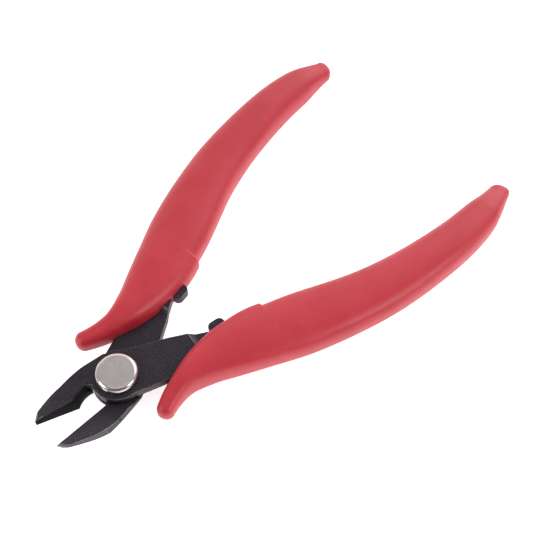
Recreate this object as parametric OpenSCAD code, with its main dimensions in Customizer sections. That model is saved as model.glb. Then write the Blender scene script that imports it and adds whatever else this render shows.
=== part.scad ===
// Flush cutter: two flat steel halves crossing at a rivet, each with a red sleeve on its handle.
// Millimetres. +Z up, origin on the rivet's axis where its tail meets the resting plane,
// handles towards +Y, jaws towards -Y. Every half is drawn closed, then turned open.

/* [Opening] */
// Angle between the two halves at rest, held open by the spring
open_angle = 19; // [16:0.5:21]
// Height of the sliding plane between the halves
joint_z = 5; // [4.8:0.05:5.3]

/* [Steel halves] */
// Thickness of each flat half
plate_t = 2.5; // [2.2:0.1:2.7]
// Running gap between the two halves
plate_gap = 0.05; // [0.02:0.01:0.1]
// Radius of the round boss at the pivot
boss_r = 6.4; // [6.1:0.1:6.5]
// Distance from the pivot to the jaw tips
jaw_tip = 21.3; // [21:0.1:22]
// Thickness of a jaw at its tip
tip_t = 1.4; // [1:0.1:2]
// Upward tilt of the flush faces
head_tilt = 25.5; // [22:0.5:27]
// Angle of the bevel above the flush face
bevel_angle = 66; // [60:1:70]
// Radius of the hollow behind the upper half's cutting edge
upper_throat_r = 6; // [5:0.5:8]
// Radius of the hollow behind the under half's cutting edge
under_throat_r = 2.8; // [2.5:0.1:4]
// Half gap left between the cutting edges when closed
edge_gap = 0.01; // [0.005:0.005:0.03]

/* [Rivet and collar] */
// Diameter of the rivet's head
head_d = 10.2; // [9:0.1:11.5]
// Height of the rivet's head
head_h = 1.9; // [1.4:0.1:2.4]
// Radius on the rim of the head
head_fillet = 1.2; // [0.4:0.1:1.3]
// Diameter of the rivet's shank
shank_d = 6; // [5:0.1:6.4]
// Radial clearance in the upper half's bore
bore_clear = 0.03; // [0.02:0.01:0.08]
// Diameter of the collar's flange under the spring
flange_d = 10.4; // [10:0.1:11]
// Thickness of the collar's flange
flange_t = 0.55; // [0.4:0.05:0.6]

/* [Return spring] */
// Diameter of the spring wire
wire_d = 0.8; // [0.6:0.05:0.85]
// Radius of the coil, to the middle of the wire
coil_r = 4.35; // [4.3:0.05:4.5]
// Distance from the pivot to the holes that hold the legs
leg_reach = 13.6; // [12.5:0.1:14.5]
// Angle of each leg's hole from the middle of the tool
leg_angle = 23.5; // [20:0.5:27]

/* [Sleeves] */
// Scale of a sleeve's width
sleeve_fit = 1; // [0.96:0.01:1.04]
// Half thickness of a sleeve at its thickest
sleeve_h = 5; // [4.7:0.05:5]
// How far back the right sleeve sits, and how far forward the left one
sleeve_slip = 1; // [-1:0.1:1.2]
// Fullness of a sleeve's section, 2 for an ellipse
sleeve_fullness = 2.6; // [2:0.1:3.2]

/* [Hidden] */

arc_fn = 96;
hole_fn = 32;
outline_steps = 16;          // points along a curved outline
corner_steps = 8;            // points round a small corner
fit_gap = 0.05;              // sleeve pocket around the steel
far = 60;                    // reach of cutting blocks
beyond = 1;                  // how far a profile runs past the material
steel_colour = "#3a373c";
rivet_colour = "#b9b4b0";
collar_colour = "#8f8c8a";
spring_colour = "#a7a6a4";
sleeve_colour = "#c94152";

under_bottom = joint_z - plate_gap / 2 - plate_t;
under_top = joint_z - plate_gap / 2;
upper_bottom = joint_z + plate_gap / 2;
upper_top = joint_z + plate_gap / 2 + plate_t;
tang_bottom = joint_z - plate_t / 2;
tang_top = joint_z + plate_t / 2;

// Side view of the halves, along Y
flush_start = -11;           // where the flush faces begin to rise
ramp_start = -8;             // where the under half's jaw begins to rise
dip_start = -6;              // where the upper half's jaw begins to dip
dip_end = -12;               // where both jaws reach the same height
lap_edge = -5;               // the upper half is full depth beyond this
jog_start = 19.2;            // step that brings both tangs to the same height
jog_end = 20.8;
tang_reach = 105;            // beyond the end of the tang
tip_bottom = under_bottom + (jaw_tip + flush_start) * tan(head_tilt);
tip_top = tip_bottom + tip_t;
top_rise = (tip_top - under_top) / (jaw_tip + ramp_start);
dip_z = under_top + top_rise * (ramp_start - dip_end);
lap_r = boss_r + 0.15;       // round clearance where the halves lap
lap_relief = 0.02;           // how far it is let into the upper half

// Grinding of the bevel and the tip
edge_land = 0.04;            // flat left at the cutting edge
bevel_depth = 8;
bevel_reach = 10;
bevel_side = 2;              // the grinding stays short of this, on the jaw's side of the pivot
grind_past = 7;              // how far the grinding runs back past the flush face
run_out = [-2.6, -7.9, 0];   // where the bevel's ridge turns towards the boss
run_out_angle = 54;
boss_relief = 0.06;          // how far the grinding reaches into the boss
tip_facet_turn = -42;        // direction that the tip's facet faces, from the jaw's line
tip_facet_slope = 40;        // its slope down from the top face
tip_facet_depth = 0.5;
tip_block = 6;

// Plan view of a half, closed, handle towards +X
jaw_side = -6.6;             // outer edge beside the pivot
jaw_outer = [[-2.3, -19.9], [-6.3, -12.9], [-6.6, -11], [jaw_side, -3]];
jaw_nose = [-1.3, -20.85];   // corner between the outer edge and the tip
tip_land = 0.45;             // width of the square end at the tip
jaw_root = 0.2;              // the jaw's outline ends just behind the pivot
upper_throat = [[0, -11.05], [-1.5, -6.45]];
under_throat = [[0, -10.6], [0.6, -6.6]];
neck_inner = [[-5.3, 3], [-3.2, 8.6], [-1.3, 14.3], [0.6, 19], [2.4, 23.4], [4.2, 26]];
neck_outer = [[10.6, 19], [8.9, 13], [7.9, 8.5], [7, 4], [6.2, 0.5]];
lug_low = [0.8, 24.2];       // corners of the lug, inner face first
lug_high = [7, 28.6];
lug_r = 1.4;

// Line along a handle: a Bezier curve from the finger guard to the end
spine = [[13.1, 3.8], [1.4, 23], [19.2, 45.7], [23.7, 78.5], [14.2, 107.5]];
// Distance from that line to the sleeve's edges, towards the other handle and away from it
inner_along = [[0, 2.1], [0.08, 3.1], [0.16, 5.2], [0.25, 7.4], [0.31, 8.2], [0.44, 8],
               [0.6, 6.9], [0.77, 6.4], [0.86, 5.8], [0.92, 5.3], [0.965, 4.3], [1, 3.6]];
outer_along = [[0, 2.2], [0.08, 2.5], [0.16, 4.1], [0.25, 6], [0.31, 6.8], [0.44, 7.8],
               [0.6, 7.1], [0.77, 5.5], [0.86, 4.9], [0.92, 4.3], [0.965, 3.1], [1, 2]];
// Share of the full half thickness along the handle
height_along = [[0, 0.54], [0.16, 0.95], [0.3, 1], [0.8, 1], [0.93, 0.88], [1, 0.5]];
sleeve_steps = [0, 0.05, 0.1, 0.16, 0.21, 0.26, 0.31, 0.37, 0.44, 0.52, 0.6, 0.68, 0.77, 0.86,
                0.92, 0.965, 1];
station_sides = 26;
station_rings = 12;
tang_first = 0.32;           // share of the spine where the tang joins it
tang_last = 0.9;
tang_steps = 12;
tang_w = 4;                  // half width of the tang at its root
tang_taper = 1.2;            // how much narrower it is at its end

// Rivet and collar
head_gap = 0.02;             // running gap under the head
tail_flare = 0.5;            // spread of the tail into the collar
collar_wall = 0.75;

// Spring
coil_turns = 2;
coil_gap = 0.05;             // between the coil and the faces above and below it
coil_low = flange_t + wire_d / 2 + coil_gap;
coil_high = under_bottom - wire_d / 2 - coil_gap;
wire_sides = 10;
turn_steps = 24;
leg_clear = 0.1;             // between a leg and its hole, all round and at the bottom
leg_hole_r = wire_d / 2 + leg_clear;
leg_depth = 1.5;
leg_bend = [0.97, 0.1, 0.5]; // share of the reach where a leg turns up, then two heights in the bend
upright = 0.9;               // above this the wire counts as standing upright

function blend(a, b, t) = a * (1 - t) + b * t;
// One point on a Bezier curve of any degree
function bezier(p, t) = len(p) == 1 ? p[0] :
    bezier([for (i = [0 : len(p) - 2]) blend(p[i], p[i + 1], t)], t);
function along(t) = bezier(spine, t);
function across(t) = let (d = along(t + 0.01) - along(t - 0.01)) [d[1], -d[0]] / norm(d);
function tang_half(t) = tang_w - tang_taper * (t - tang_first) / (tang_last - tang_first);
function polar(r, a) = [r * cos(a), r * sin(a)];
// Turns a circle's coordinate into that of the fuller section
function full(v) = sign(v) * pow(abs(v), 2 / sleeve_fullness);
// Points of an arc of radius r from p to q, bulging to the left of that direction
function arc_between(p, q, r, n) =
    let (m = (p + q) / 2, h = norm(q - p) / 2, u = (q - p) / (2 * h),
         c = m + [u[1], -u[0]] * sqrt(r * r - h * h),
         a = atan2(p[1] - c[1], p[0] - c[0]), b = atan2(q[1] - c[1], q[0] - c[0]),
         d = ((b - a + 540) % 360) - 180)
    [for (i = [0 : n]) c + polar(r, a + d * i / n)];

// Corner arcs of a rounded rectangle, from one corner round to the next
function rounded_points(low, high, r) =
    [for (k = [0 : 3], i = [0 : corner_steps])
        let (x = (k == 0 || k == 3) ? high[0] - r : low[0] + r, y = k < 2 ? high[1] - r : low[1] + r)
        [x, y] + polar(r, 90 * (k + i / corner_steps))];

// Neck and tang in one outline: inner edge out, outer edge back
module handle_plan() {
    steps = [for (i = [0 : tang_steps]) blend(tang_first, tang_last, i / tang_steps)];
    inner = [for (t = steps) along(t) - across(t) * tang_half(t)];
    outer = [for (i = [tang_steps : -1 : 0]) along(steps[i]) + across(steps[i]) * tang_half(steps[i])];
    polygon(concat(neck_inner, inner, outer, neck_outer, [[0, 0]]));
}

module jaw_plan() {
    polygon(concat([[-edge_gap, 0], [-edge_gap, -jaw_tip], [-tip_land, -jaw_tip], jaw_nose],
                   [for (i = [0 : outline_steps]) bezier(jaw_outer, i / outline_steps)],
                   [[jaw_side, jaw_root]]));
}

// Hollow between two points on the inner face, bulging into the jaw
module throat_plan(ends, r) {
    polygon(concat(arc_between(ends[0], ends[1], r, outline_steps),
                   [[boss_r, ends[1][1]], [boss_r, ends[0][1]]]));
}

module raised(grow) {
    linear_extrude(2 * joint_z)
        if (grow > 0)
            offset(delta = grow) children();
        else
            children();
}

// Plan of a whole half raised to full height, grown outwards by grow
module half_block(grow) {
    cylinder(r = boss_r + grow, h = 2 * joint_z, $fn = arc_fn);
    raised(grow) handle_plan();
    raised(grow) jaw_plan();
    raised(grow) polygon(rounded_points(lug_low, lug_high, lug_r));
}

// Side view as a band from a list of [y, z] points, thickened by grow above and below
module side_band(top, bottom, grow) {
    rotate([90, 0, 90])
        linear_extrude(2 * far, center = true)
            polygon(concat([for (p = top) p + [0, grow]],
                           [for (i = [len(bottom) - 1 : -1 : 0]) bottom[i] - [0, grow]]));
}

module under_band(grow) {
    side_band([[-jaw_tip - beyond, tip_top + beyond * top_rise], [ramp_start, under_top],
               [jog_start, under_top], [jog_end, tang_top], [tang_reach, tang_top]],
              [[-jaw_tip - beyond, tip_bottom + beyond * tan(head_tilt)],
               [flush_start, under_bottom], [jog_start, under_bottom],
               [jog_end, tang_bottom], [tang_reach, tang_bottom]],
              grow);
}

module upper_band(grow) {
    side_band([[-jaw_tip - beyond, tip_top + beyond * top_rise], [dip_end, dip_z],
               [dip_start, upper_top], [jog_start, upper_top],
               [jog_end, tang_top], [tang_reach, tang_top]],
              [[-jaw_tip - beyond, tip_bottom + beyond * tan(head_tilt)],
               [flush_start, under_bottom], [lap_edge, under_bottom], [lap_edge, upper_bottom],
               [jog_start, upper_bottom], [jog_end, tang_bottom], [tang_reach, tang_bottom]],
              grow);
}

// Grinds the bevel: a block whose lower face passes just above the cutting edge,
// stopped by a slanted run-out and by the boss
module bevel_cut() {
    difference() {
        translate([-edge_gap, flush_start, under_bottom])
            rotate([-head_tilt, 0, 0])
                rotate([0, bevel_angle, 0])
                    translate([-bevel_reach, -bevel_reach * 2, edge_land])
                        cube([2 * bevel_reach, 2 * bevel_reach + grind_past, bevel_depth]);
        translate([bevel_side, -far / 2, -far / 2])
            cube(far);
        translate(run_out)
            rotate([0, 0, run_out_angle])
                translate([-far / 2, 0, -far / 2])
                    cube(far);
        translate([0, 0, -far / 2])
            cylinder(r = boss_r - boss_relief, h = far, $fn = arc_fn);
    }
}

// Grinds a small facet across the tip's upper outer corner
module tip_cut() {
    corner = (jaw_outer[0] + jaw_nose) / 2;
    translate([corner[0], corner[1], tip_top])
        rotate([0, 0, tip_facet_turn])
            rotate([tip_facet_slope, 0, 0])
                translate([-tip_block / 2, -tip_block / 2, -tip_facet_depth])
                    cube(tip_block);
}

module turned_open(side) {
    rotate([0, 0, -side * open_angle / 2])
        mirror([side > 0 ? 0 : 1, 0, 0])
            children();
}

module leg_hole(bottom) {
    rotate([0, 0, open_angle / 2])
        rotate([0, 0, 90 - leg_angle])
            translate([leg_reach, 0, bottom - 1])
                cylinder(r = leg_hole_r, h = leg_depth + 1, $fn = hole_fn);
}

module under_half() {
    color(steel_colour)
        turned_open(-1)
            difference() {
                intersection() {
                    half_block(0);
                    under_band(0);
                }
                bevel_cut();
                tip_cut();
                raised(0) throat_plan(under_throat, under_throat_r);
                cylinder(d = shank_d, h = 2 * joint_z, $fn = arc_fn);
                leg_hole(under_bottom);
            }
}

module upper_half() {
    color(steel_colour)
        turned_open(1)
            difference() {
                intersection() {
                    half_block(0);
                    upper_band(0);
                }
                bevel_cut();
                tip_cut();
                raised(0) throat_plan(upper_throat, upper_throat_r);
                cylinder(r = lap_r, h = upper_bottom + lap_relief, $fn = arc_fn);
                cylinder(r = shank_d / 2 + bore_clear, h = 2 * joint_z, $fn = arc_fn);
                leg_hole(upper_bottom);
            }
}

// Head with a rounded rim, shank through both halves, tail spread in the collar
module pivot_rivet() {
    head_low = upper_top + head_gap;
    head_high = head_low + head_h;
    rim = head_d / 2 - head_fillet;
    color(rivet_colour)
        rotate_extrude($fn = arc_fn)
            union() {
                polygon([[0, 0], [shank_d / 2 + tail_flare, 0], [shank_d / 2, tail_flare],
                         [shank_d / 2, head_low], [0, head_low]]);
                translate([0, head_low]) square([rim, head_h]);
                translate([0, head_low]) square([head_d / 2, head_h - head_fillet]);
                translate([rim, head_high - head_fillet])
                    intersection() {
                        circle(head_fillet, $fn = arc_fn);
                        square(head_fillet);
                    }
            }
}

// Sleeve and flange pressed on the rivet's tail: the spring's coil sits round it
module tail_collar() {
    bore = shank_d / 2;
    color(collar_colour)
        rotate_extrude($fn = arc_fn)
            polygon([[bore + tail_flare, 0], [flange_d / 2, 0], [flange_d / 2, flange_t],
                     [bore + collar_wall, flange_t], [bore + collar_wall, under_bottom],
                     [bore, under_bottom], [bore, tail_flare]]);
}

// Middle line of the wire: leg up into the upper half, coil, leg up into the under half
function spring_path() =
    let (right = polar(leg_reach, 90 - leg_angle), left = polar(leg_reach, 90 + leg_angle),
         tangent = acos(coil_r / leg_reach),
         from = 90 - leg_angle - tangent, to = 90 + leg_angle + tangent,
         sweep = 360 * (coil_turns + 1) - (to - from),
         n = ceil(sweep / 360 * turn_steps),
         right_end = upper_bottom + leg_depth - leg_clear,
         left_end = under_bottom + leg_depth - leg_clear)
    concat([[right[0], right[1], right_end], [right[0], right[1], coil_low + leg_bend[2]]],
           [[right[0] * leg_bend[0], right[1] * leg_bend[0], coil_low + leg_bend[1]]],
           [for (i = [0 : n])
               let (p = polar(coil_r, from - sweep * i / n))
               [p[0], p[1], blend(coil_low, coil_high, i / n)]],
           [[left[0] * leg_bend[0], left[1] * leg_bend[0], coil_high]],
           [[left[0], left[1], coil_high + leg_bend[2]], [left[0], left[1], left_end]]);

function unit(v) = v / norm(v);
function ring(path, i, r, n) =
    let (last = len(path) - 1,
         d = unit(path[min(i + 1, last)] - path[max(i - 1, 0)]),
         side = unit(cross(d, abs(d[2]) > upright ? [path[i][1], -path[i][0], 0] : [0, 0, 1])),
         up = cross(side, d))
    [for (k = [0 : n - 1]) path[i] + r * (side * cos(360 * k / n) + up * sin(360 * k / n))];

// Round wire swept along a path
module wire(path, r, n) {
    rings = len(path);
    points = [for (i = [0 : rings - 1]) each ring(path, i, r, n)];
    walls = [for (i = [0 : rings - 2], k = [0 : n - 1])
                 [i * n + k, i * n + (k + 1) % n, (i + 1) * n + (k + 1) % n, (i + 1) * n + k]];
    polyhedron(points, concat(walls, [[for (k = [n - 1 : -1 : 0]) k]],
                              [[for (k = [0 : n - 1]) (rings - 1) * n + k]]), convexity = 8);
}

module return_spring() {
    color(spring_colour)
        wire(spring_path(), wire_d / 2, wire_sides);
}

// Flattened ball with a full section, as wide as the sleeve at t
module sleeve_station(t) {
    inner = lookup(t, inner_along);
    outer = lookup(t, outer_along);
    p = along(t) + across(t) * (outer - inner) / 2;
    w = sleeve_fit * (inner + outer) / 2;
    h = sleeve_h * lookup(t, height_along);
    angles = [for (i = [0 : station_rings]) 180 * (i / station_rings - 0.5)];
    translate([p[0], p[1], joint_z])
        rotate_extrude($fn = station_sides)
            polygon([for (a = angles) [w * full(cos(a)), h * full(sin(a))]]);
}

module sleeve_body(slip) {
    translate([0, slip, 0])
        for (i = [0 : len(sleeve_steps) - 2])
            hull() {
                sleeve_station(sleeve_steps[i]);
                sleeve_station(sleeve_steps[i + 1]);
            }
}

// Soft sleeve with a pocket for the tang, neck and lug
module left_sleeve() {
    color(sleeve_colour)
        turned_open(-1)
            difference() {
                sleeve_body(-sleeve_slip);
                intersection() {
                    half_block(fit_gap);
                    under_band(fit_gap);
                }
            }
}

module right_sleeve() {
    color(sleeve_colour)
        turned_open(1)
            difference() {
                sleeve_body(sleeve_slip);
                intersection() {
                    half_block(fit_gap);
                    upper_band(fit_gap);
                }
            }
}

under_half();
upper_half();
pivot_rivet();
tail_collar();
return_spring();
left_sleeve();
right_sleeve();
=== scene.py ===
"""Looks of the flush cutter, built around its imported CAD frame."""
import math

import bmesh
import bpy
from mathutils import Matrix, Vector


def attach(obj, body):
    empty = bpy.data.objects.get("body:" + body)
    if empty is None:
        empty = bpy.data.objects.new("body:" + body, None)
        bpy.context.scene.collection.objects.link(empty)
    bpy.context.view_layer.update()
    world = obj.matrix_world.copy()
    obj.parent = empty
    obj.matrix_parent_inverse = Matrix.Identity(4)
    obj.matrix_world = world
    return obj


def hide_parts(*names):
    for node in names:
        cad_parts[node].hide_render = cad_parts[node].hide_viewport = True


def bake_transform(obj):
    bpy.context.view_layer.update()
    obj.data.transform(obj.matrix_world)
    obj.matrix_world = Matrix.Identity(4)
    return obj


MM = 0.001
OPEN_ANGLE = math.radians(19)
JOINT_Z = 5.0

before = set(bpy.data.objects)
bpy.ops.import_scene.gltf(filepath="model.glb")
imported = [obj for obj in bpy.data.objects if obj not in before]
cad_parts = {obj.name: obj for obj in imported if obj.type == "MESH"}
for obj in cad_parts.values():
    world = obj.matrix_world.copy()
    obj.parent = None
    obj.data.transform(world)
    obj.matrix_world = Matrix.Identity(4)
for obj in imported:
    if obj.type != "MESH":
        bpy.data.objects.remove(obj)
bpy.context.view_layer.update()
scene = bpy.context.scene


# ---------------------------------------------------------------- camera, floor and lights

def add_camera():
    """Looks down at the tool from its jaw side, with the handles running away to the right."""
    azimuth, elevation = math.radians(44.53), math.radians(60)
    distance, focal_px, frame_px, sensor_mm = 0.238, 950, 550, 36
    target = Vector((0.00642, 0.04597, 0.005))
    back = Vector((math.sin(azimuth) * math.cos(elevation),
                   -math.cos(azimuth) * math.cos(elevation), math.sin(elevation)))
    data = bpy.data.cameras.new("camera")
    data.sensor_width = sensor_mm
    data.lens = sensor_mm * focal_px / frame_px
    data.clip_start = 0.01
    camera = bpy.data.objects.new("camera", data)
    camera.location = target + back * distance
    camera.rotation_euler = (-back).to_track_quat("-Z", "Y").to_euler()
    scene.collection.objects.link(camera)
    scene.camera = camera


def add_light(name, direction, distance, size, power):
    """A soft white rectangular light at a distance along a direction from the tool, facing it."""
    target = Vector((0.005, 0.03, 0.005))
    data = bpy.data.lights.new(name, "AREA")
    data.shape = "RECTANGLE"
    data.size, data.size_y = size
    data.energy = power
    light = bpy.data.objects.new(name, data)
    way = Vector(direction).normalized()
    light.location = target + way * distance
    light.rotation_euler = (-way).to_track_quat("-Z", "Y").to_euler()
    scene.collection.objects.link(light)


def add_world():
    """A bright backdrop behind the tool that falls off overhead to a dark room on the camera's side."""
    towards_camera, strength = (0.70, -0.714, 0), 1.4
    # from the backdrop to the dark side: (place, brightness)
    stops = ((0.0, 1.0), (0.12, 0.92), (0.27, 0.46), (0.5, 0.32), (0.72, 0.14), (1.0, 0.12))
    world = bpy.data.worlds.new("studio")
    world.use_nodes = True
    tree = world.node_tree
    place = tree.nodes.new("ShaderNodeTexCoord")
    facing = tree.nodes.new("ShaderNodeVectorMath")
    facing.operation = "DOT_PRODUCT"
    facing.inputs[1].default_value = towards_camera
    share = tree.nodes.new("ShaderNodeMapRange")
    share.inputs["From Min"].default_value = -1
    ramp = tree.nodes.new("ShaderNodeValToRGB").color_ramp
    brightness = tree.nodes["Color Ramp"]
    while len(ramp.elements) < len(stops):
        ramp.elements.new(0.5)
    for element, (position, level) in zip(ramp.elements, stops):
        element.position = position
        element.color = (level, level, level, 1)
    background = tree.nodes["Background"]
    background.inputs["Strength"].default_value = strength
    for first, second in ((place.outputs["Generated"], facing.inputs[0]),
                          (facing.outputs["Value"], share.inputs["Value"]),
                          (share.outputs[0], brightness.inputs[0]),
                          (brightness.outputs[0], background.inputs["Color"])):
        tree.links.new(first, second)
    scene.world = world


# ---------------------------------------------------------------- material helpers

# Sockets of a Mix node that mixes colours
MIX_SHARE, MIX_FIRST, MIX_SECOND, MIX_RESULT = 0, 6, 7, 2


class Nodes:
    """Short hand for building a node material."""

    def __init__(self, name):
        self.material = bpy.data.materials.new(name)
        self.material.use_nodes = True
        self.tree = self.material.node_tree
        self.shader = self.tree.nodes["Principled BSDF"]
        self.space = self.add("ShaderNodeTexCoord").outputs["Object"]

    def add(self, kind, **settings):
        node = self.tree.nodes.new(kind)
        for key, value in settings.items():
            setattr(node, key, value)
        return node

    def put(self, node, name, value):
        socket = node.inputs[name]
        if hasattr(value, "is_output"):
            self.tree.links.new(value, socket)
        else:
            socket.default_value = value

    def noise(self, scale, detail=4, roughness=0.55, stretch=None):
        where = self.space
        if stretch:
            mapping = self.add("ShaderNodeMapping")
            self.put(mapping, "Vector", where)
            mapping.inputs["Scale"].default_value = stretch
            where = mapping.outputs[0]
        node = self.add("ShaderNodeTexNoise")
        for key, value in (("Vector", where), ("Scale", scale), ("Detail", detail),
                           ("Roughness", roughness)):
            self.put(node, key, value)
        return node.outputs["Fac"]

    def range(self, value, low, high, to_low, to_high):
        node = self.add("ShaderNodeMapRange")
        for key, item in (("Value", value), ("From Min", low), ("From Max", high),
                          ("To Min", to_low), ("To Max", to_high)):
            self.put(node, key, item)
        return node.outputs[0]

    def mix(self, share, first, second):
        node = self.add("ShaderNodeMix", data_type="RGBA")
        self.put(node, MIX_SHARE, share)
        for place, item in ((MIX_FIRST, first), (MIX_SECOND, second)):
            self.put(node, place, item if hasattr(item, "is_output") else (*item, 1))
        return node.outputs[MIX_RESULT]

    def maths(self, operation, first, second):
        node = self.add("ShaderNodeMath", operation=operation)
        self.put(node, 0, first)
        self.put(node, 1, second)
        return node.outputs[0]

    def bump(self, height, strength, distance, normal=None):
        node = self.add("ShaderNodeBump")
        for key, item in (("Height", height), ("Strength", strength), ("Distance", distance)):
            self.put(node, key, item)
        if normal:
            self.put(node, "Normal", normal)
        return node.outputs[0]

    def set(self, **values):
        for key, value in values.items():
            self.put(self.shader, key.replace("_", " "), value)
        return self.material


def red_vinyl():
    """Soft matt dipped vinyl: fine grain, faint cloudiness and a few rubbed patches."""
    n = Nodes("red_vinyl")
    cloud = n.noise(90, 3)
    rubbed = n.noise(420, 5, 0.7)
    grain = n.noise(9000, 2)
    colour = n.mix(n.range(cloud, 0.35, 0.65, 0, 1), (0.47, 0.011, 0.025), (0.51, 0.020, 0.037))
    colour = n.mix(n.range(rubbed, 0.58, 0.75, 0, 0.35), colour, (0.56, 0.052, 0.078))
    rough = n.range(rubbed, 0.3, 0.7, 0.40, 0.52)
    normal = n.bump(grain, 0.10, 0.00004, n.bump(cloud, 0.10, 0.0006))
    return n.set(Base_Color=colour, Roughness=rough, Normal=normal, Specular_IOR_Level=0.55,
                 Sheen_Weight=0.06, Sheen_Roughness=0.4)


def black_steel(name, dark, light, fleck, gloss):
    """Black oxide finish: faint blotches, fine speckle and light rubbing."""
    n = Nodes(name)
    blotch = n.noise(160, 4)
    speckle = n.noise(3600, 3, 0.65)
    wear = n.noise(900, 6, 0.72)
    colour = n.mix(n.range(blotch, 0.35, 0.65, 0, 1), dark, light)
    colour = n.mix(n.range(speckle, 0.53, 0.72, 0, 0.85), colour, fleck)
    colour = n.mix(n.range(wear, 0.60, 0.8, 0, 0.5), colour, fleck)
    rough = n.range(blotch, 0.3, 0.7, 0.38, 0.52)
    normal = n.bump(speckle, 0.22, 0.00007)
    return n.set(Base_Color=colour, Metallic=0.0, Roughness=rough, Normal=normal,
                 Specular_IOR_Level=gloss, Specular_Tint=(0.94, 0.82, 0.98, 1))


def bare_steel(name, dark, bright):
    """Steel where the black finish has rubbed or been ground thin, so that bare metal shows in places; on
    the edge strips its lighter colour also paints edge highlights.
    """
    n = Nodes(name)
    speckle = n.noise(4200, 4, 0.7)
    patch = n.noise(420, 3)
    share = n.maths("MULTIPLY", n.range(speckle, 0.38, 0.66, 0.15, 1),
                    n.range(patch, 0.35, 0.65, 0.3, 1))
    return n.set(Base_Color=n.mix(share, dark, bright), Metallic=0.85, Roughness=0.38,
                 Normal=n.bump(speckle, 0.2, 0.00005))


def satin_nickel():
    """Turned and plated rivet: fine straight scratches over a satin surface."""
    n = Nodes("satin_nickel")
    scratch = n.noise(1300, 4, 0.65, (1, 10, 1))
    haze = n.noise(500, 3)
    colour = n.mix(n.range(haze, 0.3, 0.7, 0, 1), (0.55, 0.495, 0.49), (0.60, 0.545, 0.54))
    colour = n.mix(n.range(scratch, 0.50, 0.75, 0, 0.35), colour, (0.68, 0.63, 0.625))
    rough = n.range(scratch, 0.3, 0.7, 0.20, 0.28)
    return n.set(Base_Color=colour, Metallic=1.0, Roughness=rough,
                 Normal=n.bump(scratch, 0.05, 0.00003))


def spring_steel():
    """Drawn wire with a dull plated skin."""
    n = Nodes("spring_wire")
    drawn = n.noise(2600, 4, 0.6)
    colour = n.mix(n.range(drawn, 0.3, 0.7, 0, 1), (0.36, 0.355, 0.35), (0.52, 0.515, 0.505))
    return n.set(Base_Color=colour, Metallic=1.0, Roughness=n.range(drawn, 0.3, 0.7, 0.26, 0.4),
                 Normal=n.bump(drawn, 0.12, 0.00003))


# ---------------------------------------------------------------- mesh helpers

def to_object(name, bm, *materials):
    mesh = bpy.data.meshes.new(name)
    bm.normal_update()
    bm.to_mesh(mesh)
    bm.free()
    obj = bpy.data.objects.new(name, mesh)
    scene.collection.objects.link(obj)
    for material in materials:
        mesh.materials.append(material)
    return obj


def skin(bm, rings):
    """Joins rings of points into a tube, in quads, with its ends closed."""
    rows = [[bm.verts.new(p) for p in ring] for ring in rings]
    count = len(rows[0])
    for a, b in zip(rows, rows[1:]):
        for k in range(count):
            face = bm.faces.new((a[k], a[(k + 1) % count], b[(k + 1) % count], b[k]))
            face.smooth = True
    for row, turn in ((rows[0], -1), (rows[-1], 1)):
        centre = bm.verts.new(sum((v.co for v in row), Vector()) / count)
        for k in range(count):
            pair = (row[k], row[(k + 1) % count])[::turn]
            face = bm.faces.new((*pair, centre))
            face.smooth = True
    bmesh.ops.recalc_face_normals(bm, faces=bm.faces)


def smooth_curve(table, t):
    """Smooth monotone interpolation in a table of (t, value) pairs."""
    i = max(k for k in range(len(table) - 1) if table[k][0] <= t or k == 0)
    slopes = [(b[1] - a[1]) / (b[0] - a[0]) for a, b in zip(table, table[1:])]

    def tangent(k):
        if k == 0 or k == len(table) - 1:
            return slopes[0] if k == 0 else slopes[-1]
        before, after = slopes[k - 1], slopes[k]
        return 0 if before * after <= 0 else 2 * before * after / (before + after)

    (t0, v0), (t1, v1) = table[i], table[i + 1]
    h = t1 - t0
    u = (t - t0) / h
    return ((1 + 2 * u) * (1 - u) ** 2 * v0 + u * (1 - u) ** 2 * h * tangent(i)
            + u * u * (3 - 2 * u) * v1 + u * u * (u - 1) * h * tangent(i + 1))


# ---------------------------------------------------------------- sleeves

# The same line, half widths and half heights along a handle as the CAD sleeves have, in millimetres,
# each as (share of the line's length, value)
SPINE = [Vector(p) for p in ((13.1, 3.8), (1.4, 23), (19.2, 45.7), (23.7, 78.5), (14.2, 107.5))]
INNER = ((0, 2.1), (0.08, 3.1), (0.16, 5.2), (0.25, 7.4), (0.31, 8.2), (0.44, 8), (0.6, 6.9),
         (0.77, 6.4), (0.86, 5.8), (0.92, 5.3), (0.965, 4.3), (1, 3.6))
OUTER = ((0, 2.2), (0.08, 2.5), (0.16, 4.1), (0.25, 6), (0.31, 6.8), (0.44, 7.8), (0.6, 7.1),
         (0.77, 5.5), (0.86, 4.9), (0.92, 4.3), (0.965, 3.1), (1, 2))
HEIGHT = ((0, 2.7), (0.16, 4.75), (0.3, 5), (0.8, 5), (0.93, 4.4), (1, 2.5))
FULLNESS = 2.65              # of the section, 2 for an ellipse
SLIP = 1.0                   # how far back the right sleeve sits, and how far forward the left one
PAD_START = (0.27, 0.345)    # where the finger pad rises along the line
PAD_STEP = 0.362             # where it ends in a step
STEP_HALF = 0.004            # half length of that step
HOLLOW_LENGTH = 0.07
PAD_PROUD, HOLLOW_DEPTH = 0.5, 0.25
PAD_LEAN = (0.45, 0.95)      # how far round towards the inner side it fades in


def on_spine(t):
    points = list(SPINE)
    while len(points) > 1:
        points = [a.lerp(b, t) for a, b in zip(points, points[1:])]
    return points[0]


def turned_open(point, side):
    """Takes a point of the closed drawing to its place in the open tool, in metres."""
    x, y, z = point
    turn = Matrix.Rotation(-side * OPEN_ANGLE / 2, 3, "Z")
    return turn @ Vector((x * side, y, z)) * MM


def smooth_step(low, high, value):
    share = min(max((value - low) / (high - low), 0), 1)
    return share * share * (3 - 2 * share)


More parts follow.
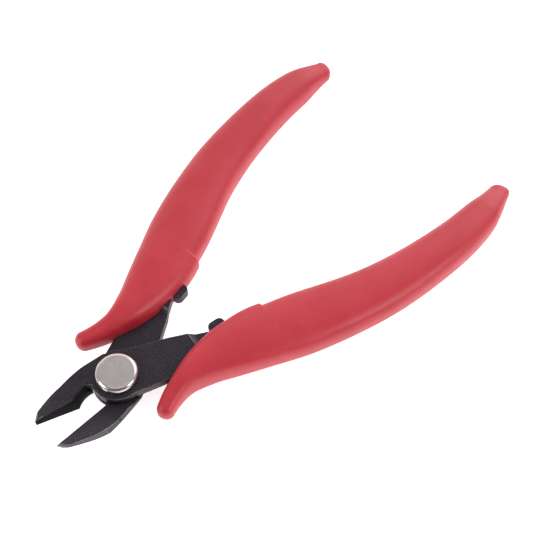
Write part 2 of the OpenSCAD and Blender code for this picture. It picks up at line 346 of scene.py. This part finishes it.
def ledge(t, lean):
    """The finger pad on a sleeve's inner side: proud up to its step, let in just behind it."""
    past_step = smooth_step(PAD_STEP - STEP_HALF, PAD_STEP + STEP_HALF, t)
    pad = smooth_step(*PAD_START, t) * (1 - past_step)
    hollow = past_step * (1 - smooth_step(PAD_STEP, PAD_STEP + HOLLOW_LENGTH, t))
    return smooth_step(*PAD_LEAN, lean) * (PAD_PROUD * pad - HOLLOW_DEPTH * hollow)


def sleeve_ring(t, side, slip, sides, shift=0.0, shrink=1.0):
    """One section of a sleeve, moved along it by shift and made smaller by shrink where it rounds an end."""
    near = 0.0005
    centre = on_spine(t)
    along = (on_spine(t + near) - on_spine(t - near)).normalized()
    outward = Vector((along.y, -along.x))
    inner, outer, height = (smooth_curve(c, t) for c in (INNER, OUTER, HEIGHT))
    ring = []
    for k in range(sides):
        angle = 2 * math.pi * k / sides
        c, s = math.cos(angle), math.sin(angle)
        across = math.copysign(abs(c) ** (2 / FULLNESS), c)
        rise = math.copysign(abs(s) ** (2 / FULLNESS), s)
        reach = (outer if across > 0 else inner + ledge(t, -across)) * shrink
        p = centre + along * shift + outward * across * reach
        ring.append(turned_open((p.x, p.y + slip, JOINT_Z + rise * height * shrink), side))
    return ring


def build_sleeve(name, side, slip, material):
    sides, cap, sections = 72, 9, 170
    stations = [i / sections for i in range(sections + 1)]
    stations += [PAD_STEP - 0.005 + i * 0.0009 for i in range(12)]      # closer together across the step
    rings = []
    start = (smooth_curve(INNER, 0) + smooth_curve(OUTER, 0)) / 2
    end = (smooth_curve(INNER, 1) + smooth_curve(OUTER, 1)) / 2
    for i in range(1, cap):
        angle = math.pi / 2 * (1 - i / cap)
        rings.append(sleeve_ring(0, side, slip, sides, -start * math.sin(angle), math.cos(angle)))
    rings += [sleeve_ring(t, side, slip, sides) for t in sorted(set(stations))]
    for i in range(1, cap):
        angle = math.pi / 2 * i / cap
        rings.append(sleeve_ring(1, side, slip, sides, end * math.sin(angle), math.cos(angle)))
    bm = bmesh.new()
    skin(bm, rings)
    return to_object(name, bm, material)


# ---------------------------------------------------------------- steel halves

# Angles of the grinding, the same as in the CAD halves
HEAD_TILT, BEVEL_ANGLE = math.radians(25.5), math.radians(66)
TIP_FACET_TURN, TIP_FACET_SLOPE = math.radians(-42), math.radians(40)

# Order of the halves' finishes
PLAIN, WORN_AND_HIGHLIT, GROUND_SHADE, BRIGHT = range(4)

# Distances in metres, most of them from the pivot's axis
FACET_FROM = 0.0195          # the tip's facet lies beyond this
TIP_END_FROM = 0.0205        # and the tip's square end beyond this
BOSS_EDGE = 0.0063           # the ground bevel lies beyond this
BEVEL_BACK = -0.0055         # and on the jaw's side of this, along Y
BORE_EDGE = 0.0045           # edges nearer than this are hidden under the rivet
LAP_EDGE = 0.0069            # edges nearer than this are round the boss
BOSS_TOP = 0.0074            # of those, only the ones above this height are rounded
SLEEVE_FROM = 0.033          # edges beyond this, along Y, are hidden in the sleeve
RIDGE_STOP = 0.0018          # the ridge is cut this far short of the tip
RIDGE_TIP = 0.0185           # where a ridge reaches far enough out to be cut short
RIDGE_LAST = -0.0193         # no piece of ridge that reaches past this, along Y, is rolled
NARROW = 0.0002              # edges and faces smaller than this are left alone
RIDGE_ROLL, RIDGE_SEGMENTS = 0.0003, 4
EDGE_ROLL, EDGE_SEGMENTS = 0.00012, 2

# How closely a face's normal follows a direction, as a cosine
ALONG, NEARLY_ALONG, ROUGHLY_ALONG = 0.98, 0.97, 0.55
TOP_FACE, STEEP_TOP, UPRIGHT = 0.85, 0.75, 0.3

# Least angle between two faces, in degrees, for the edge between them to be rolled
RIDGE_ANGLE, EDGE_ANGLE = 20, 35


def half_directions(side):
    """Which way the ground bevel and the tip's facet face on the turned-open half."""
    bevel = (Matrix.Rotation(-HEAD_TILT, 3, "X")
             @ Vector((math.sin(BEVEL_ANGLE), 0, math.cos(BEVEL_ANGLE))))
    facet = (Matrix.Rotation(TIP_FACET_TURN, 3, "Z")
             @ Vector((0, -math.sin(TIP_FACET_SLOPE), math.cos(TIP_FACET_SLOPE))))
    turn = Matrix.Rotation(-side * OPEN_ANGLE / 2, 3, "Z")
    return [turn @ Vector((way.x * side, way.y, way.z)) for way in (bevel, facet)]


def zone_of(normal, centre, bevel, facet):
    """Finish of a face: plain, ground bevel and throat in a darker copy of the black steel that paints their
    shade and dark reflection, or bright ground tip.
    """
    from_pivot = math.hypot(centre.x, centre.y)
    on_jaw = centre.y < 0
    if on_jaw and from_pivot > FACET_FROM and normal.dot(facet) > NEARLY_ALONG:
        return BRIGHT
    if on_jaw and from_pivot > TIP_END_FROM and abs(normal.z) < UPRIGHT and -normal.y > ROUGHLY_ALONG:
        return BRIGHT
    # bevel and throat faces: painted shade, a darker copy of the black steel
    if (centre.y < BEVEL_BACK and from_pivot > BOSS_EDGE
            and normal.dot(bevel) > ROUGHLY_ALONG and normal.z < STEEP_TOP):
        return GROUND_SHADE
    return PLAIN


def rounded_half(node, name, side, finishes):
    """A half with rounded edges: a soft roll on the ridge above the bevel, a fine rubbed one elsewhere,
    whose lighter bare-steel colour is both rubbed wear and a painted highlight along the edges.
    """
    bevel, facet = half_directions(side)
    same_place, same_plane = 2e-6, math.radians(0.6)
    bm = bmesh.new()
    bm.from_mesh(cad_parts[node].data)
    bmesh.ops.remove_doubles(bm, verts=bm.verts, dist=same_place)
    bmesh.ops.dissolve_limit(bm, angle_limit=same_plane, verts=bm.verts, edges=bm.edges)
    bm.normal_update()
    for face in bm.faces:
        face.material_index = zone_of(face.normal, face.calc_center_median(), bevel, facet)

    def convex(edge, least):
        if len(edge.link_faces) != 2 or edge.calc_face_angle_signed(0) < math.radians(least):
            return False
        mid = (edge.verts[0].co + edge.verts[1].co) / 2
        radius = math.hypot(mid.x, mid.y)
        if radius < BORE_EDGE or mid.y > SLEEVE_FROM or edge.calc_length() < NARROW:
            return False
        if any(face.calc_area() / edge.calc_length() < NARROW for face in edge.link_faces):
            return False
        return radius > LAP_EDGE or mid.z > BOSS_TOP

    def is_ridge(edge):
        tops = [f for f in edge.link_faces if f.normal.z > TOP_FACE]
        ground = [f for f in edge.link_faces if f.normal.dot(bevel) > ALONG]
        return convex(edge, RIDGE_ANGLE) and tops and ground

    def roll(edges, width, steps):
        return bmesh.ops.bevel(bm, geom=edges, offset=width, offset_type="OFFSET", segments=steps,
                               profile=0.5, affect="EDGES", clamp_overlap=False)["faces"]

    # the soft ridge stops short of the tip, where the small facets begin
    for ridge in [e for e in bm.edges if is_ridge(e)]:
        ends = sorted(ridge.verts, key=lambda v: v.co.y)
        reaches_tip = math.hypot(ends[0].co.x, ends[0].co.y) > RIDGE_TIP
        if reaches_tip and ridge.calc_length() > 2 * RIDGE_STOP:
            bmesh.utils.edge_split(ridge, ends[0], RIDGE_STOP / ridge.calc_length())
    inland = [e for e in bm.edges if is_ridge(e) and min(v.co.y for v in e.verts) > RIDGE_LAST]
    for face in roll(inland, RIDGE_ROLL, RIDGE_SEGMENTS):
        face.material_index = PLAIN
    # the fine rolls get the lighter bare-steel finish: rubbed wear and painted edge highlights
    for face in roll([e for e in bm.edges if convex(e, EDGE_ANGLE)], EDGE_ROLL, EDGE_SEGMENTS):
        face.material_index = WORN_AND_HIGHLIT
    for face in bm.faces:
        face.smooth = True
    obj = to_object(name, bm, *finishes)
    modifier = obj.modifiers.new("normals", "WEIGHTED_NORMAL")
    modifier.weight = 100
    modifier.keep_sharp = True
    return obj


# ---------------------------------------------------------------- turned parts and spring

# Sizes in millimetres, the same as in the CAD pieces
SHANK_R, TAIL_FLARE = 3.0, 0.5
HEAD_LOW, HEAD_H, HEAD_R, HEAD_FILLET = 7.545, 1.9, 5.1, 1.2
UNDER_BOTTOM = 2.475         # lower face of the under half
FLANGE_R, FLANGE_T, COLLAR_R = 5.2, 0.55, 3.75
COIL_R, WIRE_R, COIL_GAP = 4.35, 0.4, 0.05
LEG_REACH, LEG_ANGLE = 13.6, math.radians(23.5)
LEFT_LEG_TOP, RIGHT_LEG_TOP = 3.8, 6.4


def turned(name, profile, material, sides=128):
    """Turns a closed profile of (radius, height) points round the pivot's axis."""
    bm = bmesh.new()
    rows = [[bm.verts.new((r * MM * math.cos(2 * math.pi * k / sides),
                           r * MM * math.sin(2 * math.pi * k / sides), z * MM))
             for k in range(sides)] if r > 0 else [bm.verts.new((0, 0, z * MM))] for r, z in profile]
    for a, b in zip(rows, rows[1:] + ([] if len(rows[0]) == 1 else rows[:1])):
        for k in range(sides):
            j = (k + 1) % sides
            corners = [a[k % len(a)], a[j % len(a)], b[j % len(b)], b[k % len(b)]]
            corners = [v for i, v in enumerate(corners) if v not in corners[:i]]
            if len(corners) > 2:
                bm.faces.new(corners).smooth = True
    bmesh.ops.recalc_face_normals(bm, faces=bm.faces)
    return to_object(name, bm, material)


def arc(centre, radius, start, end, steps):
    """Points on an arc, from one angle to another in degrees."""
    return [(centre[0] + radius * math.cos(math.radians(start + (end - start) * i / steps)),
             centre[1] + radius * math.sin(math.radians(start + (end - start) * i / steps)))
            for i in range(steps + 1)]


def build_rivet(material):
    """Wide flat head, very slightly crowned, with a rounded rim; shank and spread tail."""
    top, flat, crown, under_edge = HEAD_LOW + HEAD_H, 3.9, 0.03, 0.2
    profile = [(0, top)] + [(r, top - crown * (r / flat) ** 4) for r in (1.2, 2.4, 3.2, 3.7)]
    profile += arc((HEAD_R - HEAD_FILLET, top - HEAD_FILLET), HEAD_FILLET, 85, 0, 16)
    profile += arc((HEAD_R - under_edge, HEAD_LOW + under_edge), under_edge, 0, -90, 4)
    profile += [(SHANK_R, HEAD_LOW), (SHANK_R, TAIL_FLARE), (SHANK_R + TAIL_FLARE, 0), (0, 0)]
    return turned("rivet", profile, material)


def build_collar(material):
    """Ring with a flange under the coil, its edges slightly rounded."""
    edge, top, chamfer = 0.1, 2.47, (0.1, 0.07)
    profile = [(SHANK_R + TAIL_FLARE, 0), (FLANGE_R - edge, 0)]
    profile += arc((FLANGE_R - edge, edge), edge, -90, 0, 4)
    profile += arc((FLANGE_R - edge, FLANGE_T - edge), edge, 0, 90, 4)
    profile += [(COLLAR_R, FLANGE_T), (COLLAR_R, top - chamfer[1]), (COLLAR_R - chamfer[0], top),
                (SHANK_R, top), (SHANK_R, TAIL_FLARE)]
    return turned("collar", profile, material)


def round_wire(points, radius, sides=16):
    """Sweeps a circle along points, without letting it twist."""
    rings, side = [], None
    angles = [2 * math.pi * k / sides for k in range(sides)]
    for i, p in enumerate(points):
        way = (points[min(i + 1, len(points) - 1)] - points[max(i - 1, 0)]).normalized()
        side = way.orthogonal() if side is None else side - way * side.dot(way)
        side = side.normalized()
        up = way.cross(side)
        rings.append([(p + (side * math.cos(a) + up * math.sin(a)) * radius) * MM for a in angles])
    bm = bmesh.new()
    skin(bm, rings)
    return bm


def build_spring(material):
    """Two turns round the collar and a leg up into each half, as one round wire."""
    low, high = FLANGE_T + WIRE_R + COIL_GAP, UNDER_BOTTOM - WIRE_R - COIL_GAP
    right = Vector((LEG_REACH * math.sin(LEG_ANGLE), LEG_REACH * math.cos(LEG_ANGLE)))
    left = Vector((-right.x, right.y))
    tangent = math.acos(COIL_R / LEG_REACH)
    start, end = math.pi / 2 - LEG_ANGLE - tangent, math.pi / 2 + LEG_ANGLE + tangent
    steps, sweep = 150, 2 * math.pi * 3 - (end - start)

    def at(leg, share, height):
        return Vector((*(leg * share), height))

    # each leg: upright part, bend as (share of the reach, height above the coil's end), flat part
    points = [at(right, 1, RIGHT_LEG_TOP), at(right, 1, low + 1.0), at(right, 1, low + 0.45),
              at(right, 0.99, low + 0.12), at(right, 0.965, low + 0.01)]
    points += [at(right, 0.93 - 0.1 * i, low) for i in range(4)]
    for i in range(steps + 1):
        a = start - sweep * i / steps
        points.append(Vector((COIL_R * math.cos(a), COIL_R * math.sin(a),
                              low + (high - low) * i / steps)))
    points += [at(left, 0.63 + 0.1 * i, high) for i in range(4)]
    points += [at(left, 0.965, high + 0.01), at(left, 0.99, high + 0.12),
               at(left, 1, high + 0.4), at(left, 1, LEFT_LEG_TOP)]
    return to_object("spring", round_wire(points, WIRE_R), material)


# ---------------------------------------------------------------- the tool

vinyl, nickel, wire_finish = red_vinyl(), satin_nickel(), spring_steel()
# in the order PLAIN, WORN_AND_HIGHLIT, GROUND_SHADE, BRIGHT
steel = (black_steel("blackened_steel", dark=(0.007, 0.0055, 0.0075), light=(0.012, 0.0095, 0.013),
                     fleck=(0.085, 0.077, 0.089), gloss=0.36),
         # edge strips: rubbed bare steel, also painting the highlights that the edges catch
         bare_steel("worn_edge_and_highlight", dark=(0.05, 0.047, 0.052), bright=(0.30, 0.295, 0.30)),
         # bevel and throat: a darker, less glossy copy of the black steel, painting shade and dark
         # reflection
         black_steel("ground_bevel_painted_shade", dark=(0.003, 0.0025, 0.0035), light=(0.006, 0.005, 0.0065),
                     fleck=(0.02, 0.018, 0.021), gloss=0.12),
         bare_steel("ground_tip", dark=(0.20, 0.195, 0.20), bright=(0.55, 0.545, 0.54)))
add_camera()

for half, body, node, side in (("under_half_rounded", "left_handle", "under_half", -1),
                               ("upper_half_rounded", "right_handle", "upper_half", 1)):
    piece = rounded_half(node, half, side, steel)
    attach(piece, body)
    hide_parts(node)

for name, body, node, side in (("left_grip", "left_handle", "left_sleeve", -1),
                               ("right_grip", "right_handle", "right_sleeve", 1)):
    piece = build_sleeve(name, side, side * SLIP, vinyl)
    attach(piece, body)
    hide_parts(node)

for piece, node in ((build_rivet(nickel), "pivot_rivet"), (build_collar(nickel), "tail_collar")):
    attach(piece, "left_handle")
    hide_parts(node)

spring = build_spring(wire_finish)
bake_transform(spring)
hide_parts("return_spring")

# ---------------------------------------------------------------- studio

floor_finish = Nodes("floor")
floor_finish.set(Base_Color=(0.9, 0.9, 0.9, 1), Roughness=0.8,
                 Emission_Color=(1, 1, 1, 1), Emission_Strength=0.8)
bm = bmesh.new()
bmesh.ops.create_grid(bm, x_segments=2, y_segments=2, size=8)
floor = to_object("floor", bm, floor_finish.material)
floor.location.z = -0.0001   # just under the tool, so that the two never share a plane

add_world()
# name, direction, distance, size, power
add_light("overhead", (0.12, -0.12, 0.98), 0.8, (0.6, 0.6), 0.5)
add_light("back", (-0.05, 0.80, 0.60), 0.8, (0.7, 0.5), 2.0)
add_light("front_left", (-0.32, -0.78, 0.50), 0.5, (0.17, 0.17), 0.9)
add_light("front_right", (0.80, 0.22, 0.52), 0.5, (0.17, 0.17), 0.9)
scene.view_settings.view_transform = "Standard"
